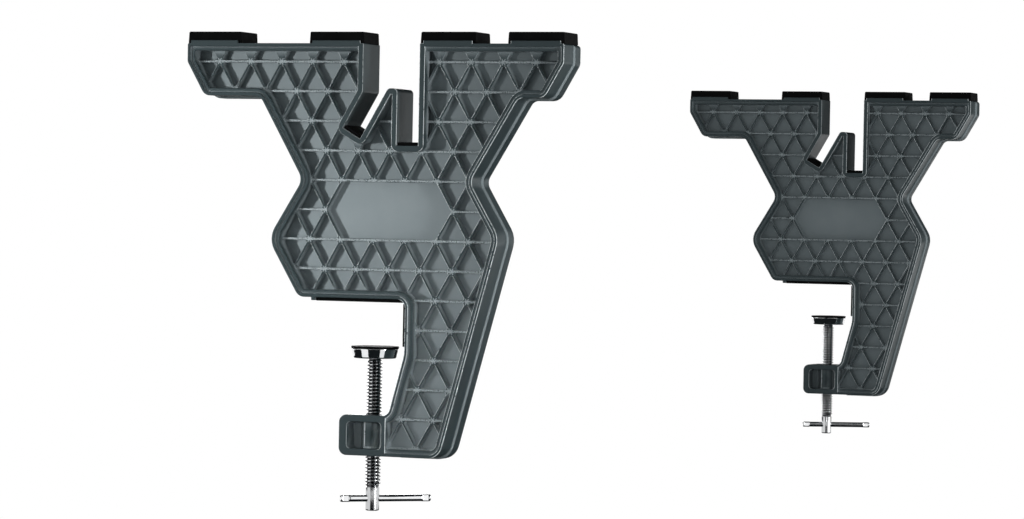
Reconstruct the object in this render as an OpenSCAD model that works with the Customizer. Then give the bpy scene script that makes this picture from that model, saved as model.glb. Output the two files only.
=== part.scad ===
// A pair of tuning vises, each a moulded plate frame with an isogrid of ribs on both faces
// and a screw clamp under its seat. Millimetres, Z up. The origin is the middle of the
// near frame's seat pad, on the face that rests on the edge that is clamped.
// X runs across a frame, Y through its thickness and on to the far frame.

/* [Frame] */
// thickness of the frame through both rims
frame_t = 25; // [22:0.5:32]
// highest edge of the frame above the seat
top_z = 150.5; // [146:0.5:160]
// left end of the top wing
wing_left_x = -113; // [-120:0.5:-106]
// right end of the top wing
wing_right_x = 124.5; // [120:0.5:132]
// underside of both wings above the seat
wing_under_z = 119.5; // [117:0.5:122]
// height of the slanted corner under each wing end
wing_bevel_h = 20; // [12:0.5:24]
// half the width of the frame at its waist
waist_half = 52.6; // [50:0.2:56]
// height of the waist above the seat
waist_z = 70.7; // [66:0.1:75]
// how far the left hip stands out from the waist
hip_left_out = 21.3; // [16:0.1:24]
// how far the right hip stands out from the waist
hip_right_out = 18.7; // [14:0.1:22]
// flat width of the rim on each face
land_w = 1.9; // [1.5:0.1:3]
// width of the lower ledge inside the rim
ledge_w = 2.5; // [1.5:0.1:3.5]
// depth of the ledge under the rim
ledge_d = 1.5; // [0.8:0.1:3]
// width of the rim round the slots
slot_rim = 3.4; // [2.5:0.1:4.5]
// how far the rear half stands out past the front half
step_out = 1.2; // [0.4:0.1:2]
// depth of the front half, up to the step
step_depth = 16; // [13:0.5:19]

/* [Isogrid] */
// distance between neighbouring rib crossings
grid_pitch = 20; // [16:0.5:26]
// width of a rib
rib_w = 1.4; // [1:0.1:2.4]
// depth of the rib tops under the rim
rib_depth = 6; // [4:0.5:8]
// depth of the pocket floors under the rim
floor_depth = 10.4; // [8:0.2:11]
// length of the small flat that thickens each rib crossing
crossing_cut = 1.5; // [0.5:0.1:3]
// place of one rib crossing, across from the origin
grid_x = -24.6; // [-30:0.1:-15]
// place of one rib crossing, up from the origin
grid_z = 88; // [80:0.1:96]

/* [Slots] */
// left wall of the top opening
open_left_x = 0.2; // [-4:0.1:4]
// width of the top opening
open_w = 35.3; // [33:0.1:40]
// width of the upright slot
slot_w = 13.5; // [11:0.1:15]
// floor of the upright slot above the seat
slot_floor_z = 91.2; // [88:0.1:98]
// width of the slanted slot
slant_w = 12.6; // [10:0.1:13]
// lower right corner of the slanted slot, height above the seat
slant_floor_z = 94.9; // [92:0.1:100]
// top of the tongue between the slots
tongue_z = 124.4; // [118:0.1:128]
// thickness of the pads on the slot floors
slot_pad_t = 2; // [1:0.1:4]

/* [Seat and pads] */
// left corner of the seat
seat_left_x = -38.5; // [-44:0.5:-34]
// thickness of the seat pad
seat_pad_t = 2; // [1:0.1:4]
// face of the edge pad, to the right of the origin
edge_face_x = 27.6; // [24:0.1:32]
// thickness of the edge pad
edge_pad_t = 1.6; // [1:0.1:3]
// how far the edge pad reaches below the seat
edge_pad_h = 25.5; // [18:0.5:29]
// radius in the inner corner of the seat
seat_r = 5; // [3:0.1:6]
// width of a top pad
top_pad_w = 34.8; // [28:0.1:38]
// height of a top pad over the frame
top_pad_h = 6.8; // [4:0.1:10]
// height of the lips that hold a top pad
lip_h = 1.7; // [1:0.1:3]
// thickness of those lips
lip_t = 1; // [0.8:0.1:2]

/* [Lower arm] */
// upper face of the lower arm
arm_top_z = -65.9; // [-70:0.1:-60]
// lower face of the arm and of the leg
arm_low_z = -89.6; // [-94:0.1:-86]
// free end of the lower arm
arm_end_x = -11.1; // [-16:0.1:-8]
// lower right corner of the leg
leg_low_x = 51.9; // [48:0.1:56]
// radius of the round wall that carries the screw
boss_r = 7; // [6.4:0.1:8]

/* [Screw] */
// middle of the screw, to the right of the origin
screw_x = 5.8; // [2:0.1:9]
// outer radius of the thread
screw_r = 4.5; // [4:0.1:5]
// radius of the plain lower end
collar_r = 4; // [3.6:0.1:4.4]
// lower end of the thread with the foot 26 mm under the seat
thread_low_z = -108.4; // [-112:0.1:-104]
// lower end of the screw
screw_low_z = -122.2; // [-126:0.1:-118]
// gap between two faces that run on each other
running_gap = 0.06; // [0.02:0.01:0.1]
// distance between the seat and the foot at rest
jaw = 26; // [22:0.5:34]
// radius of the cup at its wide top
cup_top_r = 13.8; // [12:0.1:16]
// radius of the cup at its base
cup_low_r = 12.6; // [11:0.1:15]
// height of the cup
cup_h = 5.6; // [4:0.1:8]
// thickness of the pad on the foot
foot_pad_t = 1.4; // [1:0.1:3]
// radius of the T bar
bar_r = 2; // [1.6:0.1:2.4]
// length of the T bar
bar_l = 55; // [48:0.5:64]
// how far the bar has slid along its hole
bar_slid = 8; // [0:0.5:14]
// turn of the near bar
bar_turn_near = 40; // [0:1:90]
// turn of the far bar
bar_turn_far = 27; // [0:1:90]

/* [Pair] */
// distance from the near frame to the far frame
stand_gap = 954; // [400:1:1400]

/* [Hidden] */

plastic = [0.33, 0.38, 0.39];
rubber = [0.08, 0.08, 0.085];
chrome = [0.78, 0.79, 0.8];

half_t = frame_t / 2;
front_y = -half_t;
step_y = front_y + step_depth;
rim_w = land_w + ledge_w;
centre_x = grid_x + 2 * grid_pitch;
row_pitch = grid_pitch * sqrt(3) / 2;
lean = 1 / tan(60);
wing_drop = wing_under_z - waist_z;
bevel_x = wing_bevel_h * lean;
hip_left_x = centre_x - waist_half - hip_left_out;
hip_right_x = centre_x + waist_half + hip_right_out;
hip_left_z = waist_z - hip_left_out / 0.61;
hip_right_z = waist_z - hip_right_out / 0.59;
frame_edge_x = edge_face_x + edge_pad_t;
leg_slope_z = -30.1;
arm_root_x = frame_edge_x - (leg_slope_z - arm_top_z) * 0.265;
band_start_x = 21.4;
top_gap = 0.2;
open_right_x = open_left_x + open_w;
slot_left_x = open_right_x - slot_w;
slant_x = -1.1;
slant_end = [slant_x - slant_w * cos(30), slant_floor_z + slant_w * sin(30)];
slant_bend_z = slant_end[1] + (open_left_x - slant_end[0]) / lean;
tongue_left_x = slant_x + (tongue_z - slant_floor_z) * lean;
pad_depth = frame_t - 2 * lip_t - 2 * top_gap;
top_pad_x = [
    wing_left_x + top_pad_w / 2,
    open_left_x - top_pad_w / 2,
    open_right_x + top_pad_w / 2,
    wing_right_x - top_pad_w / 2
];
foot_top_z = -jaw;
cup_top_z = foot_top_z - foot_pad_t;
cup_low_z = cup_top_z - cup_h;
cup_wall = 1.2;
neck_r = 3.2;
ball_r = 4.4;
bar_z = -115;
seat_lip_h = seat_pad_t - 0.2;

// the outer edge of the front half, from the top left corner and round against the clock
outline = [
    [wing_left_x, top_z],
    [wing_left_x, wing_under_z + wing_bevel_h],
    [wing_left_x + bevel_x, wing_under_z],
    [centre_x - waist_half - wing_drop * lean, wing_under_z],
    [centre_x - waist_half, waist_z],
    [hip_left_x, hip_left_z],
    [seat_left_x, seat_pad_t],
    [frame_edge_x, seat_pad_t],
    [frame_edge_x, leg_slope_z],
    [arm_root_x, arm_top_z],
    [arm_end_x, arm_top_z],
    [arm_end_x, arm_low_z],
    [leg_low_x, arm_low_z],
    [hip_right_x, hip_right_z],
    [centre_x + waist_half, waist_z],
    [centre_x + waist_half + wing_drop * 0.597, wing_under_z],
    [wing_right_x - bevel_x, wing_under_z],
    [wing_right_x, wing_under_z + wing_bevel_h],
    [wing_right_x, top_z]
];
// rounding of each corner of that edge
corner_r = [1, 4, 6, 6, 8, 13, 6, seat_r, 20, 5, 4.5, 4.5, 9, 13, 8, 6, 6, 4, 1];
// whether the corner turns outwards (1) or inwards (-1)
corner_way = [1, 1, 1, -1, -1, 1, 1, -1, 1, -1, 1, 1, 1, 1, -1, -1, 1, 1, 1];
// how much of the step each side of the rear half takes
step_share = [1, 1, 1, 1, 1, 1, 0, 0, 0, 0, 0, 1, 1, 1, 1, 1, 1, 1, 0];

// the opening that is cut from the top, with both slots
slot_line = [
    [open_left_x, top_z + 20],
    [open_left_x, slant_bend_z],
    slant_end,
    [slant_x, slant_floor_z],
    [tongue_left_x, tongue_z],
    [slot_left_x, tongue_z],
    [slot_left_x, slot_floor_z],
    [open_right_x, slot_floor_z],
    [open_right_x, top_z + 20]
];
slot_r = [0, 4, 0, 0, 2.6, 2.6, 0, 0, 0];
slot_rim_r = [0, 1, 5, 5, 0, 0, 4, 4, 0];

// the bare six-sided panel in the middle of the grid
panel = [
    [0, 2], [0.5, 3], [3.5, 3], [4, 2], [3.5, 1], [0.5, 1]
];

function unit(v) = v / norm(v);
function pick(list, n) = list[(n + len(list)) % len(list)];
function normal(p, q) = [unit(q - p)[1], -unit(q - p)[0]];
function cross2(a, b) = a[0] * b[1] - a[1] * b[0];
// the point where the line through p along u meets the line through q along v
function meet(p, u, q, v) = p + u * (cross2(q - p, v) / cross2(u, v));
// the polygon with each side moved outwards by its own distance
function moved(points, out) = [
    for (n = [0:len(points) - 1])
        let (
            before = pick(points, n - 1),
            here = points[n],
            after = pick(points, n + 1),
            p = before + normal(before, here) * pick(out, n - 1),
            q = here + normal(here, after) * out[n]
        )
        meet(p, here - before, q, after - here)
];
function same(points, d) = [for (p = points) d];
// the polygon with its corners rounded
function rounded(points, radii, step = 12) = [
    for (n = [0:len(points) - 1])
        let (
            here = points[n],
            u = unit(pick(points, n - 1) - here),
            v = unit(pick(points, n + 1) - here),
            r = radii[n],
            half = acos(u * v) / 2,
            middle = here + unit(u + v) * (r / sin(half)),
            start = here + u * (r / tan(half)),
            swing = 180 - 2 * half,
            parts = max(1, ceil(swing / step)),
            way = cross2(start - middle, v - u) > 0 ? 1 : -1,
            a = atan2(start[1] - middle[1], start[0] - middle[0])
        )
        each r <= 0.01 ? [here] : [
            for (s = [0:parts])
                middle + r * [cos(a + way * swing * s / parts), sin(a + way * swing * s / parts)]
        ]
];
function tighter(radii, way, d) = [
    for (n = [0:len(radii) - 1]) max(0.6, radii[n] - way[n] * d)
];
// the lattice point that is i steps across and k rows down
function crossing(i, k) = [grid_x + grid_pitch * i, grid_z - row_pitch * k];
function odd(k) = (k % 2 + 2) % 2;
// a triangle drawn in by half a rib
function drawn_in(a, b, c) =
    let (m = (a + b + c) / 3, inner = (grid_pitch / (2 * sqrt(3)) - rib_w / 2) / (grid_pitch / (2 * sqrt(3))))
    [for (p = [a, b, c]) m + (p - m) * inner];
// the same triangle with its tips cut off, so that the crossings grow thicker
function tips_off(t, cut) = [
    for (n = [0:2])
        let (here = t[n], u = unit(t[(n + 2) % 3] - here), v = unit(t[(n + 1) % 3] - here))
        each [here + u * cut, here + v * cut]
];
function inside(p, poly) =
    let (
        hits = [
            for (n = [0:len(poly) - 1])
                let (a = poly[n], b = pick(poly, n + 1))
                if ((a[1] > p[1]) != (b[1] > p[1]) &&
                    p[0] < a[0] + (b[0] - a[0]) * (p[1] - a[1]) / (b[1] - a[1])) 1
        ]
    )
    len(hits) % 2 == 1;
// how many of ten points spread over a triangle lie where a pocket may be
function open_points(t) =
    let (
        m = (t[0] + t[1] + t[2]) / 3,
        spots = [
            m,
            for (p = t) m + (p - m) * 0.8,
            for (n = [0:2]) (t[n] + t[(n + 1) % 3]) / 2 * 0.8 + m * 0.2,
            for (p = t) m + (p - m) * 0.45
        ]
    )
    len([for (s = spots) if (pocket_here(s)) 1]);
pocket_edge = moved(outline, same(outline, -rim_w));
slot_edge = moved(slot_line, same(slot_line, slot_rim));
arm_clear_x = 18.3;
arm_clear_z = arm_top_z + 6;
function pocket_here(p) =
    inside(p, pocket_edge) && !inside(p, slot_edge) && !(p[0] < arm_clear_x && p[1] < arm_clear_z);
panel_edge = [for (p = panel) crossing(p[0], p[1])];
cells = [
    for (k = [-4:10], i = [-5:8])
        let (
            x = i + odd(k) / 2,
            a = crossing(x, k),
            b = crossing(x + 1, k),
            low = crossing(x + 0.5, k + 1),
            far = crossing(x + 1.5, k + 1)
        )
        each [
            for (t = [[a, low, b], [b, low, far]])
                if (!inside((t[0] + t[1] + t[2]) / 3, panel_edge) && open_points(t) >= 2) drawn_in(t[0], t[1], t[2])
        ]
];

// stands a flat drawing up and gives it the depth from y0 to y1
module upright(y0, y1) {
    translate([0, y1, 0])
        rotate([90, 0, 0])
            linear_extrude(height = y1 - y0)
                children();
}

module mirrored_too() {
    children();
    mirror([0, 1, 0])
        children();
}

module far() {
    translate([0, stand_gap, 0])
        children();
}

module pocket_shape(out) {
    difference() {
        polygon(rounded(moved(outline, same(outline, -out)), tighter(corner_r, corner_way, out)));
        polygon(rounded(moved(slot_line, same(slot_line, slot_rim)), slot_rim_r));
        translate([-100, arm_low_z - 10])
            square([100 + arm_clear_x, arm_clear_z - arm_low_z + 10]);
    }
}

module cell_shape(cut) {
    for (t = cells)
        polygon(tips_off(t, cut));
    polygon(moved(panel_edge, same(panel_edge, -rib_w / 2)));
}

// the pocket on the front face, down to the floor between the ribs
module front_pocket() {
    upright(front_y - 1, front_y + ledge_d)
        pocket_shape(land_w);
    upright(front_y, front_y + rib_depth)
        pocket_shape(rim_w);
    upright(front_y, front_y + floor_depth)
        intersection() {
            pocket_shape(rim_w);
            cell_shape(crossing_cut);
        }
}

module arm_pocket() {
    arm_rim = 4;
    upright(front_y - 1, front_y + floor_depth)
        polygon(rounded([
            [arm_end_x + 5, arm_top_z - arm_rim],
            [arm_end_x + 5, arm_low_z + arm_rim],
            [arm_clear_x - 2.9, arm_low_z + arm_rim],
            [arm_clear_x - 2.9, arm_top_z - arm_rim]
        ], [2.5, 2.5, 2.5, 2.5]));
}

// the moulded plate frame
module frame() {
    color(plastic)
    difference() {
        union() {
            difference() {
                union() {
                    upright(front_y, step_y)
                        polygon(rounded(outline, corner_r));
                    difference() {
                        upright(step_y, half_t)
                            polygon(rounded(
                                moved(outline, step_share * step_out),
                                tighter(corner_r, corner_way, -step_out)
                            ));
                        translate([-200, step_y - 1, arm_low_z - 10])
                            cube([200 + band_start_x, half_t - step_y + 2, 10]);
                    }
                }
                mirrored_too()
                    front_pocket();
                mirrored_too()
                    arm_pocket();
            }
            // the round wall in the arm that carries the screw
            translate([screw_x, 0, arm_low_z + 1])
                cylinder(r = boss_r, h = arm_top_z - arm_low_z - 2, $fn = 48);
            // the lips in front of and behind the top pads
            for (x = top_pad_x)
                mirrored_too()
                    translate([x - top_pad_w / 2 + 2.1, front_y, top_z - 1])
                        cube([top_pad_w - 4.2, lip_t, lip_h + 1]);
            // the lip at the free end of the seat pad
            translate([seat_left_x + 8.2, front_y, seat_pad_t - seat_lip_h])
                cube([2.7, frame_t, seat_lip_h + 1]);
        }
        upright(front_y - 1, half_t + 1)
            polygon(rounded(slot_line, slot_r));
        // the hole for the screw
        translate([screw_x, 0, arm_low_z - 5])
            cylinder(r = screw_r + running_gap, h = arm_top_z - arm_low_z + 10, $fn = 64);
    }
}

// one rubber pad on top of the frame
module top_pad(n) {
    side = 0.4;
    color(rubber)
    upright(-pad_depth / 2, pad_depth / 2)
        polygon(rounded([
            [top_pad_x[n] - top_pad_w / 2, top_z],
            [top_pad_x[n] + top_pad_w / 2, top_z],
            [top_pad_x[n] + top_pad_w / 2 - side, top_z + top_pad_h],
            [top_pad_x[n] - top_pad_w / 2 + side, top_z + top_pad_h]
        ], [0, 0, 0.8, 0.8], 30));
}

// the rubber pad on the floor of the upright slot
module slot_pad() {
    color(rubber)
    translate([slot_left_x + 0.2, -pad_depth / 2, slot_floor_z])
        cube([slot_w - 0.4, pad_depth, slot_pad_t]);
}

// the rubber pad on the floor of the slanted slot
module slant_pad() {
    color(rubber)
    translate([slant_x, 0, slant_floor_z])
        rotate([0, 30, 0])
            translate([-slant_w + 0.2, -pad_depth / 2, 0])
                cube([slant_w - 0.4, pad_depth, slot_pad_t]);
}

// the space under the rounded inner corner of the seat
module corner_room(x, z) {
    union() {
        translate([x - 200, z - 200])
            square([200, 400]);
        translate([x - 200, z - 200])
            square([400, 200]);
        translate([x, z])
            circle(r = seat_r - 0.1, $fn = 64);
    }
}

// the rubber pad under the seat
module seat_pad() {
    left = seat_left_x + 11;
    color(rubber)
    upright(-pad_depth / 2, pad_depth / 2)
        intersection() {
            translate([left, 0])
                square([edge_face_x - 0.5 - left, seat_pad_t]);
            corner_room(frame_edge_x - seat_r, seat_pad_t - seat_r);
        }
}

// the rubber pad against the edge that is clamped
module edge_pad() {
    color(rubber)
    upright(-pad_depth / 2, pad_depth / 2)
        intersection() {
            translate([edge_face_x, -edge_pad_h])
                square([edge_pad_t, edge_pad_h - 0.6]);
            corner_room(frame_edge_x - seat_r, seat_pad_t - seat_r);
        }
}

// the pressed cup that the screw pushes up
module foot_cup() {
    color(chrome)
    translate([screw_x, 0, 0])
        rotate_extrude($fn = 64)
            polygon([
                [neck_r + running_gap, cup_low_z],
                [cup_low_r - 0.6, cup_low_z],
                [cup_low_r, cup_low_z + 0.6],
                [cup_top_r, cup_top_z],
                [cup_top_r - cup_wall, cup_top_z],
                [cup_low_r - cup_wall, cup_low_z + cup_wall],
                [neck_r + running_gap, cup_low_z + cup_wall]
            ]);
}

// the rubber disc on the cup
module foot_pad() {
    color(rubber)
    translate([screw_x, 0, cup_top_z])
        cylinder(r1 = cup_top_r, r2 = cup_top_r + 0.3, h = foot_pad_t, $fn = 64);
}

// the screw, from the rounded end in the cup down to the plain end
module screw(turn) {
    color(chrome)
    difference() {
        translate([screw_x, 0, 0])
            rotate_extrude($fn = 64)
                polygon([
                    [0, screw_low_z],
                    [collar_r - 0.8, screw_low_z],
                    [collar_r, screw_low_z + 0.8],
                    [collar_r, thread_low_z],
                    [screw_r, thread_low_z + 0.6],
                    [screw_r, cup_low_z - 1.4],
                    [neck_r, cup_low_z - 0.4],
                    [neck_r, cup_low_z + cup_wall + 0.2],
                    [ball_r, cup_low_z + cup_wall + 0.6],
                    [ball_r, cup_top_z - 1.2],
                    [ball_r - 1, cup_top_z - 0.3],
                    [0, cup_top_z - 0.3]
                ]);
        translate([screw_x, 0, bar_z])
            rotate([0, 0, turn])
                rotate([0, 90, 0])
                    cylinder(r = bar_r + running_gap, h = 4 * collar_r, center = true, $fn = 48);
    }
}

// the T bar, with both ends pinched flat so that it stays in its hole
module tee_bar(turn) {
    color(chrome)
    translate([screw_x, 0, bar_z])
        rotate([0, 0, turn])
            translate([bar_slid, 0, 0]) {
                rotate([0, 90, 0])
                    cylinder(r = bar_r, h = bar_l - 6, center = true, $fn = 48);
                for (end = [-1, 1])
                    translate([end * (bar_l / 2 - 3), 0, -1.2])
                        cylinder(r = 3, h = 2.4, $fn = 32);
            }
}

frame();  // frame_near
far() frame();  // frame_far
top_pad(0);  // top_pad_a_near
top_pad(1);  // top_pad_b_near
top_pad(2);  // top_pad_c_near
top_pad(3);  // top_pad_d_near
far() top_pad(0);  // top_pad_a_far
far() top_pad(1);  // top_pad_b_far
far() top_pad(2);  // top_pad_c_far
far() top_pad(3);  // top_pad_d_far
slot_pad();  // slot_pad_near
far() slot_pad();  // slot_pad_far
slant_pad();  // slant_pad_near
far() slant_pad();  // slant_pad_far
seat_pad();  // seat_pad_near
far() seat_pad();  // seat_pad_far
edge_pad();  // edge_pad_near
far() edge_pad();  // edge_pad_far
foot_cup();  // foot_cup_near
far() foot_cup();  // foot_cup_far
foot_pad();  // foot_pad_near
far() foot_pad();  // foot_pad_far
screw(bar_turn_near);  // screw_near
far() screw(bar_turn_far);  // screw_far
tee_bar(bar_turn_near);  // tee_bar_near
far() tee_bar(bar_turn_far);  // tee_bar_far
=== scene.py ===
# A pair of clamp-on tuning vises. Each is a moulded plate with an isogrid of ribs on both
# faces, rubber pads wherever it holds or touches something, and a plated screw clamp.
import math

import bmesh
import bpy
from mathutils import Matrix, Vector


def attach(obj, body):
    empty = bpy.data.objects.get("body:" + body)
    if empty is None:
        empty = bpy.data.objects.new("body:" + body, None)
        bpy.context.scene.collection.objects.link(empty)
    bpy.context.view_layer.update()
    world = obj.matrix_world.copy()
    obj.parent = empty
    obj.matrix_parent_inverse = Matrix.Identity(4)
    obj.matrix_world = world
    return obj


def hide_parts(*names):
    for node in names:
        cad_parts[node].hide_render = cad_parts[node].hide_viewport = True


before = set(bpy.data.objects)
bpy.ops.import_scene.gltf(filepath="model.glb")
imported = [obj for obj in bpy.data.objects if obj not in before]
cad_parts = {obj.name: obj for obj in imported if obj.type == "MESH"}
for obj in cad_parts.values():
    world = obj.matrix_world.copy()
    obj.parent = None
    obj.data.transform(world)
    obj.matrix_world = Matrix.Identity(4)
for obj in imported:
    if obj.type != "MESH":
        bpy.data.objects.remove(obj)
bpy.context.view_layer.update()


# Camera
# The camera stands a little above the seats and to the right, as the photograph's did. Its
# place, turn and lens were fitted to the rib lattices of both stands.
mm = 0.001
camera_place = Vector((871.0, -2051.6, 53.4)) * mm
camera_yaw = math.radians(20.831)
camera_pitch = math.radians(-0.7013)
camera_roll = math.radians(1.0769)
focal_pixels = 3805.28
picture_width = 1024
sensor_width = 36.0
clip_near = 0.05
clip_far = 60.0


def added(name, data):
    """A new object in the scene."""
    thing = bpy.data.objects.new(name, data)
    bpy.context.scene.collection.objects.link(thing)
    return thing


def turned_pair(first, second, angle):
    """Two square directions, both turned by an angle from the first towards the second."""
    return (
        first * math.cos(angle) + second * math.sin(angle),
        second * math.cos(angle) - first * math.sin(angle),
    )


def aimed_camera():
    ahead = Vector((-math.sin(camera_yaw), math.cos(camera_yaw), 0.0))
    right = Vector((math.cos(camera_yaw), math.sin(camera_yaw), 0.0))
    up = Vector((0.0, 0.0, 1.0))
    ahead, up = turned_pair(ahead, up, camera_pitch)
    right, up = turned_pair(right, up, camera_roll)
    lens = bpy.data.cameras.new("camera")
    lens.sensor_width = sensor_width
    lens.lens = focal_pixels / picture_width * sensor_width
    lens.clip_start = clip_near
    lens.clip_end = clip_far
    camera = added("camera", lens)
    turn = Matrix((right, up, -ahead)).transposed().to_4x4()
    camera.matrix_world = Matrix.Translation(camera_place) @ turn
    return camera


bpy.context.scene.camera = aimed_camera()
bpy.context.scene.view_settings.view_transform = "Standard"


# Surround
# A plain white surround, which the camera and reflections see in full. The light that it
# gives is weak and even, so that the lamps shape the stands.
sky_colour = (0.95, 0.98, 1.0, 1.0)
sky_strength = 0.28
plain_white = (1.0, 1.0, 1.0, 1.0)


def add_node(tree, kind, **settings):
    node = tree.nodes.new(kind)
    for key, value in settings.items():
        setattr(node, key, value)
    return node


def feed(tree, value, socket):
    """Gives a socket another socket's value, or a plain number or colour."""
    if hasattr(value, "links"):
        tree.links.new(value, socket)
    else:
        socket.default_value = value


def maths(tree, operation, *values):
    """The result of a sum on sockets or plain numbers."""
    node = add_node(tree, "ShaderNodeMath", operation=operation)
    for value, socket in zip(values, node.inputs):
        feed(tree, value, socket)
    return node.outputs[0]


def seen_directly(tree):
    """1 for camera, glossy and transmission rays, and 0 for the rays that carry light."""
    rays = add_node(tree, "ShaderNodeLightPath").outputs
    straight = maths(tree, "MAXIMUM", rays["Is Camera Ray"], rays["Is Glossy Ray"])
    return maths(tree, "MAXIMUM", straight, rays["Is Transmission Ray"])


def mixed_shaders(tree, share, first, second, out):
    """Joins two shaders by a share of the second, and makes them the tree's surface."""
    mix = add_node(tree, "ShaderNodeMixShader")
    feed(tree, share, mix.inputs[0])
    feed(tree, first.outputs[0], mix.inputs[1])
    feed(tree, second.outputs[0], mix.inputs[2])
    feed(tree, mix.outputs[0], out.inputs["Surface"])


def studio_sky():
    world = bpy.data.worlds.new("studio")
    world.use_nodes = True
    tree = world.node_tree
    tree.nodes.clear()
    weak = add_node(tree, "ShaderNodeBackground")
    weak.inputs["Color"].default_value = sky_colour
    weak.inputs["Strength"].default_value = sky_strength
    white = add_node(tree, "ShaderNodeBackground")
    white.inputs["Color"].default_value = plain_white
    out = add_node(tree, "ShaderNodeOutputWorld")
    mixed_shaders(tree, seen_directly(tree), weak, white, out)
    bpy.context.scene.world = world


studio_sky()


# Lamps
# Each stand has a narrow key lamp on its left, a tall one close to its right side and a wide
# one behind it. One more fills the near stand's leg from the right.
far_shift = 954 * mm
stands = {"near": 0.0, "far": far_shift}
# name: the stand, the lamp's place and aim from that stand's origin, its width and height,
# all in metres, its watts, its spread in degrees, and whether reflections show it
lamps = {
    "key_near": ("near", (-0.66, -0.706, 0.05), (-0.09, 0.0, 0.055), 0.06, 0.08, 0.205, 23.0, False),
    "side_near": ("near", (0.42, -0.12, 0.04), (0.09, 0.0, 0.04), 0.05, 0.40, 1.15, 180.0, True),
    "back_near": ("near", (-0.70, 0.80, 0.30), (0.0, 0.0, 0.03), 0.50, 0.50, 3.0, 180.0, True),
    "key_far": ("far", (-0.62, -0.20, 0.26), (0.0, 0.0, 0.03), 0.05, 0.10, 0.03, 120.0, False),
    "side_far": ("far", (0.42, -0.06, 0.04), (0.09, 0.0, 0.04), 0.06, 0.40, 0.60, 180.0, True),
    "back_far": ("far", (-0.70, 0.80, 0.30), (0.0, 0.0, 0.03), 0.50, 0.50, 6.0, 180.0, True),
    "fill_near": ("near", (0.62, -1.25, 0.10), (0.065, 0.0, -0.085), 0.12, 0.12, 0.045, 13.0, False),
}


def soft_lamp(name, stand, place, target, width, height, watts, spread, reflected):
    lamp = bpy.data.lights.new(name, "AREA")
    lamp.shape = "RECTANGLE"
    lamp.size = width
    lamp.size_y = height
    lamp.energy = watts
    lamp.spread = math.radians(spread)
    holder = added(name, lamp)
    holder.location = Vector(place) + Vector((0.0, stands[stand], 0.0))
    holder.rotation_mode = "QUATERNION"
    holder.rotation_quaternion = (Vector(target) - Vector(place)).to_track_quat("-Z", "Y")
    holder.visible_camera = False
    holder.visible_glossy = reflected


for name, values in lamps.items():
    soft_lamp(name, *values)


# Floor
# A plain pale floor, far enough down for stands that are clamped to an edge. It keeps their
# shadow and turns into the white surround further out.
floor_z = -300 * mm
floor_half = 4.0
floor_grey = (0.82, 0.83, 0.84, 1.0)
# how much white lies over the floor as it is seen, and how far out it fades to all white
floor_lift = 0.62
fade_from = 0.7
fade_to = 1.6
between_stands = far_shift / 2


def new_material(name):
    material = bpy.data.materials.new(name)
    material.use_nodes = True
    material.node_tree.nodes.clear()
    return material, material.node_tree


def stretched(tree, value, low, high, out_low=0.0, out_high=1.0, **settings):
    """A value taken from one range to another, and held within it."""
    node = add_node(tree, "ShaderNodeMapRange", **settings)
    node.inputs["From Min"].default_value = low
    node.inputs["From Max"].default_value = high
    node.inputs["To Min"].default_value = out_low
    node.inputs["To Max"].default_value = out_high
    feed(tree, value, node.inputs["Value"])
    return node.outputs[0]


def level_sheet(name, left, right, front, back, height):
    """A flat rectangle that lies level at a height."""
    mesh = bpy.data.meshes.new(name)
    corners = [(left, front), (right, front), (right, back), (left, back)]
    mesh.from_pydata([(x, y, height) for x, y in corners], [], [(0, 1, 2, 3)])
    return mesh


def pale_floor():
    front = between_stands - floor_half
    back = between_stands + floor_half
    floor = added("floor", level_sheet("floor", -floor_half, floor_half, front, back, floor_z))
    material, tree = new_material("pale_floor")
    direct = seen_directly(tree)
    matt = add_node(tree, "ShaderNodeBsdfDiffuse")
    matt.inputs["Color"].default_value = floor_grey
    lift = add_node(tree, "ShaderNodeEmission")
    lift.inputs["Color"].default_value = plain_white
    feed(tree, maths(tree, "MULTIPLY", direct, floor_lift), lift.inputs["Strength"])
    lifted = add_node(tree, "ShaderNodeAddShader")
    feed(tree, matt.outputs[0], lifted.inputs[0])
    feed(tree, lift.outputs[0], lifted.inputs[1])
    white = add_node(tree, "ShaderNodeEmission")
    white.inputs["Color"].default_value = plain_white
    away = add_node(tree, "ShaderNodeVectorMath", operation="DISTANCE")
    away.inputs[1].default_value = (0.0, between_stands, floor_z)
    feed(tree, add_node(tree, "ShaderNodeNewGeometry").outputs["Position"], away.inputs[0])
    faded = stretched(tree, away.outputs["Value"], fade_from, fade_to, interpolation_type="SMOOTHSTEP")
    out = add_node(tree, "ShaderNodeOutputMaterial")
    mixed_shaders(tree, maths(tree, "MULTIPLY", faded, direct), lifted, white, out)
    floor.data.materials.append(material)


pale_floor()


# Black cards
# Black cards that only reflections see stand round the stage, over it and on its floor. They
# give the plated steel its contrast, and they shape the sheen on the plastic.
card_black = (0.008, 0.010, 0.011, 1.0)
# sizes in metres
card_reach = 6.0
card_low = -0.6
card_high = 4.5
card_steps = 16
# name: from which turn to which, in degrees to the right of straight ahead of the stands
upright_cards = {"card_front": (-17.0, 51.0), "card_back": (150.0, 289.0)}
# the left, right, front and back edge of the card over the stage, and its height
over_card = (-4.0, 2.2, -0.9, 4.0, 2.2)
ring_rise = 0.004
ring_steps = 24
# name: from which turn to which, and from how near to how far from each stand's screw
floor_cards = {
    "card_under": (0.0, 360.0, 0.001, {"near": 0.33, "far": 0.33}),
    "card_before": (-14.0, 50.0, 0.33, {"near": 2.4, "far": 0.8}),
    "card_behind": (78.0, 308.0, 0.33, {"near": 1.2, "far": 1.2}),
}


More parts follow.
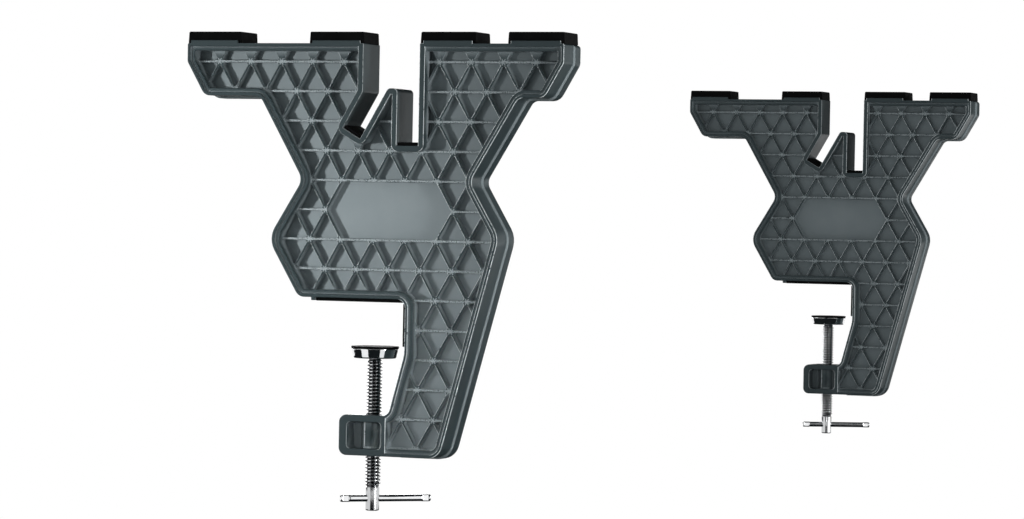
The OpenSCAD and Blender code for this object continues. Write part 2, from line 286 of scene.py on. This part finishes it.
def arc(middle, reach, turn_low, turn_high, height, steps):
    """Points round a middle, from one turn to another."""
    points = []
    for step in range(steps + 1):
        turn = math.radians(turn_low + (turn_high - turn_low) * step / steps)
        points.append(middle + Vector((reach * math.sin(turn), -reach * math.cos(turn), height)))
    return points


def strip_between(name, first, second):
    """A strip from each point of one row to the same point of another."""
    steps = len(first) - 1
    mesh = bpy.data.meshes.new(name)
    faces = [(n, n + 1, n + steps + 2, n + steps + 1) for n in range(steps)]
    mesh.from_pydata(first + second, [], faces)
    return mesh


def black_card(name, mesh):
    card = added(name, mesh)
    material, tree = new_material(name)
    black = add_node(tree, "ShaderNodeEmission")
    black.inputs["Color"].default_value = card_black
    out = add_node(tree, "ShaderNodeOutputMaterial")
    feed(tree, black.outputs[0], out.inputs["Surface"])
    mesh.materials.append(material)
    card.visible_camera = False
    card.visible_diffuse = False
    card.visible_shadow = False
    card.visible_transmission = False


for name, (turn_low, turn_high) in upright_cards.items():
    middle = Vector((0.0, between_stands, 0.0))
    bottom = arc(middle, card_reach, turn_low, turn_high, card_low, card_steps)
    top = arc(middle, card_reach, turn_low, turn_high, card_high, card_steps)
    black_card(name, strip_between(name, bottom, top))
black_card("card_over", level_sheet("card_over", *over_card))
for side, shift in stands.items():
    middle = Vector((0.0, shift, floor_z + ring_rise))
    for card, (turn_low, turn_high, near_reach, far_reaches) in floor_cards.items():
        name = card + "_" + side
        inner = arc(middle, near_reach, turn_low, turn_high, 0.0, ring_steps)
        outer = arc(middle, far_reaches[side], turn_low, turn_high, 0.0, ring_steps)
        black_card(name, strip_between(name, inner, outer))


# Frames
# Each frame is one moulding in a slate grey, glass-filled plastic with a satin skin. The
# ribs stand 6 mm under the rim on both faces, and every edge left the mould a little round.
skin_slate = (0.023, 0.034, 0.037, 1.0)
skin_slate_worn = (0.030, 0.042, 0.045, 1.0)
# painted light: the paler colours of the pockets' floors and walls
pocket_light_slate = (0.185, 0.215, 0.225, 1.0)
pocket_light_slate_pale = (0.215, 0.246, 0.256, 1.0)
# painted highlights: the pale colour of edges that catch the light
edge_highlight_slate = (0.760, 0.810, 0.820, 1.0)
# painted highlights: the paler colour of the step round the outside and of the ribs' tops
highlight_slate = (0.310, 0.350, 0.360, 1.0)
skin_sheen = (0.80, 0.96, 1.0, 1.0)
skin_specular = 0.50
skin_roughness = (0.34, 0.44)
skin_bump = 0.35
skin_bump_depth = 0.05 * mm
# which part of a slow noise goes from none of an effect to all of it
cloud_range = (0.3, 0.7)
skin_wear_range = (0.3, 0.75)
sparkle_range = (0.38, 0.52)
# the levels of the moulding's faces, from the middle of its thickness
half_thick = 12.5 * mm
ledge_level = 11.0 * mm
rib_level = 6.5 * mm
floor_level = 2.1 * mm
step_level = 3.5 * mm
# one crossing of the lattice, and how far apart the crossings are
lattice_x = -24.6 * mm
lattice_z = 88.0 * mm
rib_pitch = 20.0 * mm
# painted light: the pockets are painted paler than the skin where they lie deep, and the arm's less so,
# which leaves it in painted shadow
hollow_reach = 9.0 * mm
hollow_range = (0.82, 0.62)
arm_right = 16.5 * mm
arm_top = -66.0 * mm
arm_light_share = 0.35
# how strong the painted highlights at the lattice's crossings are
crossing_highlight_share = 0.8
edge_round = 0.45 * mm
edge_steps = 3
sharp_turn = math.radians(30)
plate_crease = math.radians(40)
weld_gap = 0.002 * mm
step_slack = 0.02 * mm


def group_tree(name, inputs, outputs):
    """A node group with number sockets: its inputs and their defaults, and its outputs."""
    tree = bpy.data.node_groups.new(name, "ShaderNodeTree")
    for socket, default in inputs.items():
        entry = tree.interface.new_socket(name=socket, in_out="INPUT", socket_type="NodeSocketFloat")
        entry.default_value = default
    for socket in outputs:
        tree.interface.new_socket(name=socket, in_out="OUTPUT", socket_type="NodeSocketFloat")
    given = add_node(tree, "NodeGroupInput").outputs
    made = add_node(tree, "NodeGroupOutput").inputs
    return tree, given, made


def placed(tree, group, **values):
    """A node group in a material, with its own values. Gives back its outputs."""
    node = add_node(tree, "ShaderNodeGroup", node_tree=group)
    for key, value in values.items():
        node.inputs[key.replace("_", " ")].default_value = value
    return node.outputs


def noise(tree, scale, detail, roughness=0.5):
    """A cloudy noise that is fixed to the piece."""
    node = add_node(tree, "ShaderNodeTexNoise")
    node.inputs["Detail"].default_value = detail
    node.inputs["Roughness"].default_value = roughness
    feed(tree, add_node(tree, "ShaderNodeTexCoord").outputs["Object"], node.inputs["Vector"])
    feed(tree, scale, node.inputs["Scale"])
    return node.outputs[0]


def skin_grain():
    """The fine grain of a moulded or plated skin, with slow unevenness. Puts out a height, and
    the unevenness by itself."""
    tree, given, made = group_tree(
        "skin_grain",
        {"Grain Scale": 2200.0, "Sink Scale": 60.0, "Sink Share": 0.35},
        ["Height", "Cloud"],
    )
    grain = noise(tree, given["Grain Scale"], detail=2.0, roughness=0.6)
    cloud = noise(tree, given["Sink Scale"], detail=4.0, roughness=0.55)
    mix = add_node(tree, "ShaderNodeMix", data_type="FLOAT")
    feed(tree, given["Sink Share"], mix.inputs["Factor"])
    feed(tree, grain, mix.inputs["A"])
    feed(tree, cloud, mix.inputs["B"])
    feed(tree, mix.outputs["Result"], made["Height"])
    feed(tree, cloud, made["Cloud"])
    return tree


def split(tree, kind):
    """The X, Y and Z of a point's place (Object), or of the way that its surface looks (Normal)."""
    parts = add_node(tree, "ShaderNodeSeparateXYZ")
    feed(tree, add_node(tree, "ShaderNodeTexCoord").outputs[kind], parts.inputs[0])
    return parts.outputs


def off_middle(tree, along, middle):
    """How far a point lies from the middle plane of its own stand, to the front or the back."""
    from_between = maths(tree, "ABSOLUTE", maths(tree, "SUBTRACT", along, middle))
    return maths(tree, "ABSOLUTE", maths(tree, "SUBTRACT", from_between, middle))


def painted_edge_highlights():
    """Painted highlights on the rounded edges of the rim's land, of its ledge and of the ribs, where they
    are turned to the left, with breaks. This is a mask for a pale colour that stands in for light that
    the edges catch. The rim's are so on the right half only, where the land's outer edge gets them too.
    Puts out a mask."""
    tree, given, made = group_tree(
        "painted_edge_highlights",
        {"Middle": between_stands, "Land": half_thick, "Ledge": ledge_level, "Rib": rib_level,
         "Reach": 0.5 * mm, "Break Scale": 500.0},
        ["Mask"],
    )
    break_low = 0.30
    break_high = 0.46
    turned_least = 0.05
    turned_most = 0.30
    round_least = 0.15
    round_most = 0.96
    outer_share = 0.7
    rib_least = 0.30
    half_from = -30 * mm
    half_to = 20 * mm
    ribs_from = -60 * mm
    ribs_to = 40 * mm
    place = split(tree, "Object")
    turned = split(tree, "Normal")
    patch = stretched(tree, noise(tree, given["Break Scale"], detail=3.0), break_low, break_high)
    right_half = stretched(tree, place["X"], half_from, half_to)
    rightward = stretched(tree, turned["X"], turned_least, turned_most)
    leftward = stretched(tree, turned["X"], -turned_least, -turned_most)
    facing = maths(tree, "ABSOLUTE", turned["Y"])
    rounded = maths(tree, "MULTIPLY", maths(tree, "GREATER_THAN", facing, round_least),
                    maths(tree, "LESS_THAN", facing, round_most))
    level = off_middle(tree, place["Y"], given["Middle"])
    half_reach = maths(tree, "MULTIPLY", given["Reach"], 0.5)
    strips = {}
    for name in ("Land", "Ledge", "Rib"):
        under = maths(tree, "SUBTRACT", given[name], level)
        off = maths(tree, "ABSOLUTE", maths(tree, "SUBTRACT", under, half_reach))
        strips[name] = maths(tree, "LESS_THAN", off, half_reach)
    rim_left = maths(tree, "MULTIPLY", maths(tree, "MAXIMUM", strips["Land"], strips["Ledge"]), leftward)
    rim_right = maths(tree, "MULTIPLY", maths(tree, "MULTIPLY", strips["Land"], rightward), outer_share)
    rim = maths(tree, "MULTIPLY", maths(tree, "MAXIMUM", rim_left, rim_right), right_half)
    growing = stretched(tree, place["X"], ribs_from, ribs_to, rib_least, 1.0)
    rib = maths(tree, "MULTIPLY", maths(tree, "MULTIPLY", strips["Rib"], leftward), growing)
    highlit_edges = maths(tree, "MULTIPLY", maths(tree, "MAXIMUM", rim, rib), rounded)
    feed(tree, maths(tree, "MULTIPLY", highlit_edges, patch), made["Mask"])
    return tree


def level_masks():
    """Which faces lie at a given distance from a stand's middle plane and look to the front or the back.
    They place painted light: the floors' paler colour, and painted highlights on the ribs' tops and on
    the step."""
    tree, given, made = group_tree(
        "level_masks",
        {"Middle": between_stands, "Floor": floor_level, "Rib": rib_level, "Step": step_level,
         "Reach": 0.70 * mm},
        ["Floor", "Rib", "Step"],
    )
    level = off_middle(tree, split(tree, "Object")["Y"], given["Middle"])
    facing = maths(tree, "ABSOLUTE", split(tree, "Normal")["Y"])
    # how squarely a face of each level has to look to the front or the back
    for name, squareness in (("Floor", 0.80), ("Rib", 0.45), ("Step", 0.30)):
        off = maths(tree, "ABSOLUTE", maths(tree, "SUBTRACT", level, given[name]))
        near = maths(tree, "LESS_THAN", off, given["Reach"])
        looks = maths(tree, "GREATER_THAN", facing, squareness)
        feed(tree, maths(tree, "MULTIPLY", near, looks), made[name])
    return tree


def lattice_lines():
    """Whether a point lies on one of the isogrid's level lines, and whether it lies on a slanted
    line near a crossing, seen from the front."""
    tree, given, made = group_tree(
        "lattice_lines",
        {"Start X": lattice_x, "Start Z": lattice_z, "Row": rib_pitch * math.sin(math.radians(60)),
         "Level Width": 0.75 * mm, "Crossing": 1.9 * mm, "Spike Width": 0.30 * mm},
        ["Level", "Crossing"],
    )
    place = split(tree, "Object")
    x = maths(tree, "SUBTRACT", place["X"], given["Start X"])
    z = maths(tree, "SUBTRACT", place["Z"], given["Start Z"])
    half_row = maths(tree, "MULTIPLY", given["Row"], 0.5)
    offs = []
    for degrees in (0.0, 60.0, 120.0):
        turn = math.radians(degrees)
        across = maths(tree, "ADD", maths(tree, "MULTIPLY", x, math.sin(turn)),
                       maths(tree, "MULTIPLY", z, math.cos(turn)))
        offs.append(maths(tree, "PINGPONG", across, half_row))
    level, rising, falling = offs
    widest = maths(tree, "MAXIMUM", maths(tree, "MAXIMUM", level, rising), falling)
    near = maths(tree, "LESS_THAN", widest, given["Crossing"])
    spike = maths(tree, "LESS_THAN", maths(tree, "MINIMUM", rising, falling), given["Spike Width"])
    feed(tree, maths(tree, "LESS_THAN", level, given["Level Width"]), made["Level"])
    feed(tree, maths(tree, "MULTIPLY", near, spike), made["Crossing"])
    return tree


grain_group = skin_grain()
edge_highlight_group = painted_edge_highlights()
level_group = level_masks()
lattice_group = lattice_lines()


def colour_mix(tree, share, first, second):
    """One colour, with a share of a second one over it."""
    node = add_node(tree, "ShaderNodeMix", data_type="RGBA")
    sockets = [socket for socket in node.inputs if socket.type == "RGBA"]
    feed(tree, share, node.inputs["Factor"])
    feed(tree, first, sockets[0])
    feed(tree, second, sockets[1])
    return [socket for socket in node.outputs if socket.type == "RGBA"][0]


def shaded(tree, colour, roughness, height, bump_strength, bump_depth):
    """Makes a shader with a fine relief the material's surface, and gives it back."""
    bump = add_node(tree, "ShaderNodeBump")
    bump.inputs["Strength"].default_value = bump_strength
    bump.inputs["Distance"].default_value = bump_depth
    shader = add_node(tree, "ShaderNodeBsdfPrincipled")
    out = add_node(tree, "ShaderNodeOutputMaterial")
    feed(tree, height, bump.inputs["Height"])
    feed(tree, colour, shader.inputs["Base Color"])
    feed(tree, roughness, shader.inputs["Roughness"])
    feed(tree, bump.outputs[0], shader.inputs["Normal"])
    feed(tree, shader.outputs[0], out.inputs["Surface"])
    return shader


def painted_pocket_light(tree):
    """The share of painted light that the pockets get: 1 above the arm and right of it, and less on the
    arm itself, whose pocket is left darker as painted shadow.
    """
    place = split(tree, "Object")
    right_of_arm = maths(tree, "GREATER_THAN", place["X"], arm_right)
    over_arm = maths(tree, "GREATER_THAN", place["Z"], arm_top)
    return maths(tree, "MAXIMUM", maths(tree, "MAXIMUM", right_of_arm, over_arm), arm_light_share)


def moulded_plastic():
    material, tree = new_material("moulded_plastic")
    grain = placed(tree, grain_group, Grain_Scale=2600.0, Sink_Scale=45.0, Sink_Share=0.25)
    fine = placed(tree, grain_group, Grain_Scale=900.0, Sink_Scale=1400.0, Sink_Share=0.6)
    edges = placed(tree, edge_highlight_group)
    levels = placed(tree, level_group)
    lattice = placed(tree, lattice_group)
    slow = stretched(tree, grain["Cloud"], *skin_wear_range)
    skin = colour_mix(tree, slow, skin_slate, skin_slate_worn)
    pale = colour_mix(tree, slow, pocket_light_slate, pocket_light_slate_pale)
    # painted highlights on the edges, then painted light on the walls and floors of the pockets
    colour = colour_mix(tree, edges["Mask"], skin, edge_highlight_slate)
    hollow = add_node(tree, "ShaderNodeAmbientOcclusion", samples=8, only_local=True)
    hollow.inputs["Distance"].default_value = hollow_reach
    in_pocket = stretched(tree, hollow.outputs["AO"], *hollow_range)
    pocket_light = painted_pocket_light(tree)
    colour = colour_mix(tree, maths(tree, "MULTIPLY", in_pocket, pocket_light), colour, pale)
    colour = colour_mix(tree, maths(tree, "MULTIPLY", levels["Floor"], pocket_light), colour, pale)
    # painted highlights on the step round the outside, then a broken painted glint on the tops of the
    # level ribs, and painted highlights at the crossings
    colour = colour_mix(tree, levels["Step"], colour, highlight_slate)
    sparkle = stretched(tree, fine["Cloud"], *sparkle_range)
    level_rib_sparkle = maths(tree, "MULTIPLY", lattice["Level"], sparkle)
    crossing_highlights = maths(tree, "MULTIPLY", lattice["Crossing"], crossing_highlight_share)
    tops = maths(tree, "MULTIPLY", levels["Rib"], maths(tree, "MAXIMUM", level_rib_sparkle, crossing_highlights))
    colour = colour_mix(tree, tops, colour, highlight_slate)
    roughness = stretched(tree, grain["Cloud"], *cloud_range, *skin_roughness)
    shader = shaded(tree, colour, roughness, grain["Height"], skin_bump, skin_bump_depth)
    shader.inputs["Specular IOR Level"].default_value = skin_specular
    shader.inputs["Specular Tint"].default_value = skin_sheen
    return material


def even_normals(piece):
    """Shades the rounded edges smoothly and leaves the large faces flat."""
    smooth = piece.modifiers.new("even_normals", "WEIGHTED_NORMAL")
    smooth.keep_sharp = True
    piece.data.polygons.foreach_set("use_smooth", [True] * len(piece.data.polygons))


def mesh_from(form, name):
    """The mesh of a form that was built from points and faces."""
    mesh = bpy.data.meshes.new(name)
    form.to_mesh(mesh)
    form.free()
    return mesh


def rounded_copy(source, name, shift):
    """A copy of a frame with its faces joined at their borders and its sharp edges rounded. The
    step round the outside keeps its corner, because its ends run out too thin to be rounded."""
    form = bmesh.new()
    form.from_mesh(source.data)
    bmesh.ops.remove_doubles(form, verts=form.verts, dist=weld_gap)
    sharp = []
    for edge in form.edges:
        folded = len(edge.link_faces) == 2 and edge.calc_face_angle(0.0) > sharp_turn
        on_step = all(abs(point.co.y - shift - step_level) < step_slack for point in edge.verts)
        if folded and not on_step:
            sharp.append(edge)
    bmesh.ops.bevel(form, geom=sharp, offset=edge_round, offset_type="OFFSET", segments=edge_steps,
                    profile=0.5, affect="EDGES", clamp_overlap=False, loop_slide=False)
    return added(name, mesh_from(form, name))


plastic = moulded_plastic()
for side, shift in stands.items():
    plate = rounded_copy(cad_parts["frame_" + side], "moulded_plate_" + side, shift)
    plate.data.materials.clear()
    plate.data.materials.append(plastic)
    even_normals(plate)
    plate.data.set_sharp_from_angle(angle=plate_crease)
    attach(plate, "stands")
    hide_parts("frame_" + side)


# Rubber pads
# Black rubber strips are pressed on wherever a stand holds or touches something: four on
# top, one on each slot's floor, one under the seat and one against the clamped edge.
rubber_black = (0.0020, 0.0022, 0.0023, 1.0)
rubber_grey = (0.0045, 0.0050, 0.0052, 1.0)
rubber_dust_range = (0.45, 0.75)
rubber_roughness = (0.55, 0.75)
rubber_specular = 0.06
rubber_bump = 0.5
rubber_bump_depth = 0.08 * mm
pad_round = 0.35 * mm
pad_names = [
    "top_pad_a", "top_pad_b", "top_pad_c", "top_pad_d",
    "slot_pad", "slant_pad", "seat_pad", "edge_pad",
]


def black_rubber():
    material, tree = new_material("black_rubber")
    grain = placed(tree, grain_group, Grain_Scale=1500.0, Sink_Scale=160.0, Sink_Share=0.4)
    dust = stretched(tree, grain["Cloud"], *rubber_dust_range)
    colour = colour_mix(tree, dust, rubber_black, rubber_grey)
    roughness = stretched(tree, grain["Cloud"], *cloud_range, *rubber_roughness)
    shader = shaded(tree, colour, roughness, grain["Height"], rubber_bump, rubber_bump_depth)
    shader.inputs["Specular IOR Level"].default_value = rubber_specular
    return material


def round_edges(piece, width):
    """Joins the imported faces at their borders and rounds the edges between them."""
    weld = piece.modifiers.new("weld", "WELD")
    weld.merge_threshold = weld_gap
    bevel = piece.modifiers.new("round_edges", "BEVEL")
    bevel.width = width
    bevel.segments = edge_steps
    bevel.limit_method = "ANGLE"
    bevel.angle_limit = sharp_turn
    bevel.use_clamp_overlap = False
    bevel.loop_slide = False
    even_normals(piece)


rubber = black_rubber()
for side in stands:
    for name in pad_names:
        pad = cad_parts[name + "_" + side]
        pad.data.materials.clear()
        pad.data.materials.append(rubber)
        round_edges(pad, pad_round)


# Screws
# Each screw is a turned and plated steel rod with a rolled trapezoidal thread of 2 mm pitch.
# Its neck is held in the foot's cup, and its plain lower end has a cross hole for the bar.
steel_dull = (0.84, 0.85, 0.86, 1.0)
steel_bright = (0.93, 0.94, 0.95, 1.0)
# the grooves' colour: partly painted shade, partly oil
groove_shade_and_oil = (0.10, 0.105, 0.11, 1.0)
steel_cloud_range = (0.35, 0.7)
steel_roughness = (0.04, 0.10)
steel_bump = 0.15
steel_bump_depth = 0.02 * mm
screw_x = 5.8 * mm
screw_low = -122.2 * mm
collar_radius = 4.0 * mm
thread_low = -108.4 * mm
thread_high = -33.4 * mm
thread_pitch = 2.0 * mm
thread_crest = 4.5 * mm
thread_depth = 1.1 * mm
crest_bright = 0.15 * mm
neck_radius = 3.2 * mm
neck_high = -31.6 * mm
ball_radius = 4.4 * mm
ball_high = -27.8 * mm
bar_height = -115.0 * mm
bar_turns = {"near": math.radians(40), "far": math.radians(27)}
hole_radius = 2.06 * mm
hole_sides = 40
drill_length = 12 * mm
screw_sides = 48
screw_crease = math.radians(38)
merge_gap = 0.0005 * mm
# how far up one pitch each point of the thread's form lies, and its share of the depth
thread_form = [
    (0.0, 1.0), (0.18, 1.0), (0.23, 0.93), (0.49, 0.07),
    (0.54, 0.0), (0.68, 0.0), (0.73, 0.07), (0.95, 0.93),
]
# the turned form under the thread and over it, as (radius, height)
lower_end = [
    (0.0, screw_low),
    (collar_radius - 0.8 * mm, screw_low),
    (collar_radius - 0.2 * mm, screw_low + 0.25 * mm),
    (collar_radius, screw_low + 0.8 * mm),
    (collar_radius, thread_low - 0.5 * mm),
    (collar_radius - 0.2 * mm, thread_low - 0.1 * mm),
]
upper_end = [
    (neck_radius, thread_high + 0.5 * mm),
    (neck_radius, neck_high),
    (ball_radius, neck_high + 0.4 * mm),
    (ball_radius, ball_high - 0.9 * mm),
    (ball_radius - 1.0 * mm, ball_high),
    (0.0, ball_high),
]


def thread_radius(height, share):
    """The thread runs out over one pitch at each end."""
    fade = min(1.0, (height - thread_low) / thread_pitch, (thread_high - height) / thread_pitch)
    return thread_crest - thread_depth * (1.0 - share * max(0.0, fade))


def screw_column(step):
    """The points up one side of the screw, as (radius, height). The thread climbs one pitch in
    a full round of steps, so the last column is the first one, a whole pitch further up. Points
    past the thread's ends are held at them."""
    spare_turns = 3
    turns = int((thread_high - thread_low) / thread_pitch) + spare_turns
    lead = step / screw_sides
    points = list(lower_end)
    for turn in range(turns):
        for along, share in thread_form:
            height = thread_low + thread_pitch * (turn + along + lead - 1.0)
            held = min(max(height, thread_low), thread_high)
            points.append((thread_radius(held, share), held))
    return points + upper_end


def screw_mesh(name, shift):
    form = bmesh.new()
    columns = []
    for step in range(screw_sides + 1):
        angle = 2 * math.pi * step / screw_sides
        columns.append([
            form.verts.new((screw_x + radius * math.cos(angle), shift + radius * math.sin(angle), height))
            for radius, height in screw_column(step)
        ])
    for here, there in zip(columns, columns[1:]):
        for n in range(len(here) - 1):
            form.faces.new([here[n], there[n], there[n + 1], here[n + 1]])
    bmesh.ops.remove_doubles(form, verts=form.verts, dist=merge_gap)
    bmesh.ops.dissolve_degenerate(form, dist=merge_gap, edges=form.edges)
    bmesh.ops.recalc_face_normals(form, faces=form.faces)
    return mesh_from(form, name)


def along_bar(side):
    """The frame of a stand's cross hole: its middle, with X along the hole."""
    place = Matrix.Translation((screw_x, stands[side], bar_height))
    return place @ Matrix.Rotation(bar_turns[side], 4, "Z")


def drilled(mesh, side):
    """The mesh with the cross hole cut through its lower end."""
    rod = added("rod", mesh)
    form = bmesh.new()
    way = along_bar(side) @ Matrix.Rotation(math.pi / 2, 4, "Y")
    bmesh.ops.create_cone(form, cap_ends=True, segments=hole_sides, radius1=hole_radius,
                          radius2=hole_radius, depth=drill_length, matrix=way)
    drill = added("drill", mesh_from(form, "drill"))
    cut = rod.modifiers.new("hole", "BOOLEAN")
    cut.object = drill
    cut.operation = "DIFFERENCE"
    cut.solver = "EXACT"
    cut_rod = rod.evaluated_get(bpy.context.evaluated_depsgraph_get())
    done = bpy.data.meshes.new_from_object(cut_rod)
    bpy.data.objects.remove(rod)
    bpy.data.objects.remove(drill)
    return done


def plated_steel(name, threaded):
    """Bright plating. On a threaded piece the grooves are painted darker, partly as painted shade, where
    the turns shade each other, and partly for the oil that they hold.
    """
    material, tree = new_material(name)
    grain = placed(tree, grain_group, Grain_Scale=1800.0, Sink_Scale=220.0, Sink_Share=0.5)
    slow = stretched(tree, grain["Cloud"], *steel_cloud_range)
    colour = colour_mix(tree, slow, steel_dull, steel_bright)
    if threaded:
        place = split(tree, "Object")
        across = add_node(tree, "ShaderNodeCombineXYZ")
        feed(tree, maths(tree, "SUBTRACT", place["X"], screw_x), across.inputs["X"])
        feed(tree, off_middle(tree, place["Y"], between_stands), across.inputs["Y"])
        radius = add_node(tree, "ShaderNodeVectorMath", operation="LENGTH")
        feed(tree, across.outputs[0], radius.inputs[0])
        groove_radius = thread_crest - thread_depth
        crest = stretched(tree, radius.outputs["Value"], groove_radius, thread_crest - crest_bright)
        # painted shade and oil down in the grooves, bright plating on the crests
        colour = colour_mix(tree, crest, groove_shade_and_oil, colour)
    roughness = stretched(tree, grain["Cloud"], *cloud_range, *steel_roughness)
    shader = shaded(tree, colour, roughness, grain["Height"], steel_bump, steel_bump_depth)
    shader.inputs["Metallic"].default_value = 1.0
    return material


thread_steel = plated_steel("thread_steel", True)
for side, shift in stands.items():
    mesh = drilled(screw_mesh("screw_rod_" + side, shift), side)
    mesh.name = "screw_rod_" + side
    mesh.materials.clear()
    mesh.materials.append(thread_steel)
    screw = added("screw_rod_" + side, mesh)
    even_normals(screw)
    mesh.set_sharp_from_angle(angle=screw_crease)
    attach(screw, "screw_" + side)
    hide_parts("screw_" + side)


# T bars
# A 4 mm plated rod slides in the screw's cross hole. Both ends are pinched flat in a press,
# so that it can't fall out.
bar_radius = 2.0 * mm
bar_half = 27.5 * mm
bar_slid = 8.0 * mm
bar_sides = 40
bar_crease = math.radians(45)
end_round = 0.4 * mm
end_share = 0.80
pinch_middle = 24.5 * mm
pinch_half = 2.6 * mm
pinch_slope = 0.8 * mm
pinch_narrowing = 0.36
pinch_widening = 0.06
# rings stand at these places from each end, and then at even steps past the pinch
end_rings = [0.0, 0.04 * mm, 0.14 * mm, 0.28 * mm]
ring_gap = 0.3 * mm
past_pinch = 1.2 * mm
middle_rings = [-10 * mm, 0.0, 10 * mm]


def bar_stations():
    """The places along the bar that have a ring of points, from one end to the other."""
    stations = [bar_half - inward for inward in end_rings]
    place = bar_half - end_round
    while place > pinch_middle - pinch_half - past_pinch:
        stations.append(place)
        place -= ring_gap
    return sorted(-station for station in stations) + middle_rings + sorted(stations)


def bar_section(along):
    """The bar's size at a place along it, its half width across the pinch and its half height."""
    into_pinch = (pinch_half - abs(abs(along) - pinch_middle)) / pinch_slope
    share = min(1.0, max(0.0, into_pinch))
    pinch = share * share * (3.0 - 2.0 * share)
    from_end = min((bar_half - abs(along)) / end_round, 1.0)
    dome = math.sqrt(max(0.0, 1.0 - (1.0 - from_end) ** 2))
    size = bar_radius * (end_share + (1.0 - end_share) * dome)
    return size, size * (1.0 - pinch_narrowing * pinch), size * (1.0 + pinch_widening * pinch)


def bar_mesh(name, side):
    way = along_bar(side) @ Matrix.Translation((bar_slid, 0, 0))
    form = bmesh.new()
    rings = []
    for along in bar_stations():
        size, half_width, half_height = bar_section(along)
        ring = []
        for step in range(bar_sides):
            angle = 2 * math.pi * step / bar_sides
            aside = min(half_width, max(-half_width, size * math.cos(angle)))
            ring.append(form.verts.new(way @ Vector((along, aside, half_height * math.sin(angle)))))
        rings.append(ring)
    for ring, after in zip(rings, rings[1:]):
        for step in range(bar_sides):
            following = (step + 1) % bar_sides
            form.faces.new([ring[step], after[step], after[following], ring[following]])
    form.faces.new(rings[0])
    form.faces.new(rings[-1])
    bmesh.ops.recalc_face_normals(form, faces=form.faces)
    mesh = mesh_from(form, name)
    mesh.polygons.foreach_set("use_smooth", [True] * len(mesh.polygons))
    mesh.set_sharp_from_angle(angle=bar_crease)
    return mesh


smooth_steel = plated_steel("smooth_steel", False)
for side in stands:
    mesh = bar_mesh("cross_bar_" + side, side)
    mesh.materials.append(smooth_steel)
    bar = added("cross_bar_" + side, mesh)
    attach(bar, "bar_" + side)
    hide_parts("tee_bar_" + side)


# Feet
# A pressed and plated steel cup snaps over the screw's end, and a rubber disc is glued on it
# so that the clamp doesn't mark the edge.
foot_round = 0.3 * mm
for side in stands:
    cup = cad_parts["foot_cup_" + side]
    cup.data.materials.clear()
    cup.data.materials.append(smooth_steel)
    round_edges(cup, foot_round)
    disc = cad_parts["foot_pad_" + side]
    disc.data.materials.clear()
    disc.data.materials.append(rubber)
    round_edges(disc, foot_round)
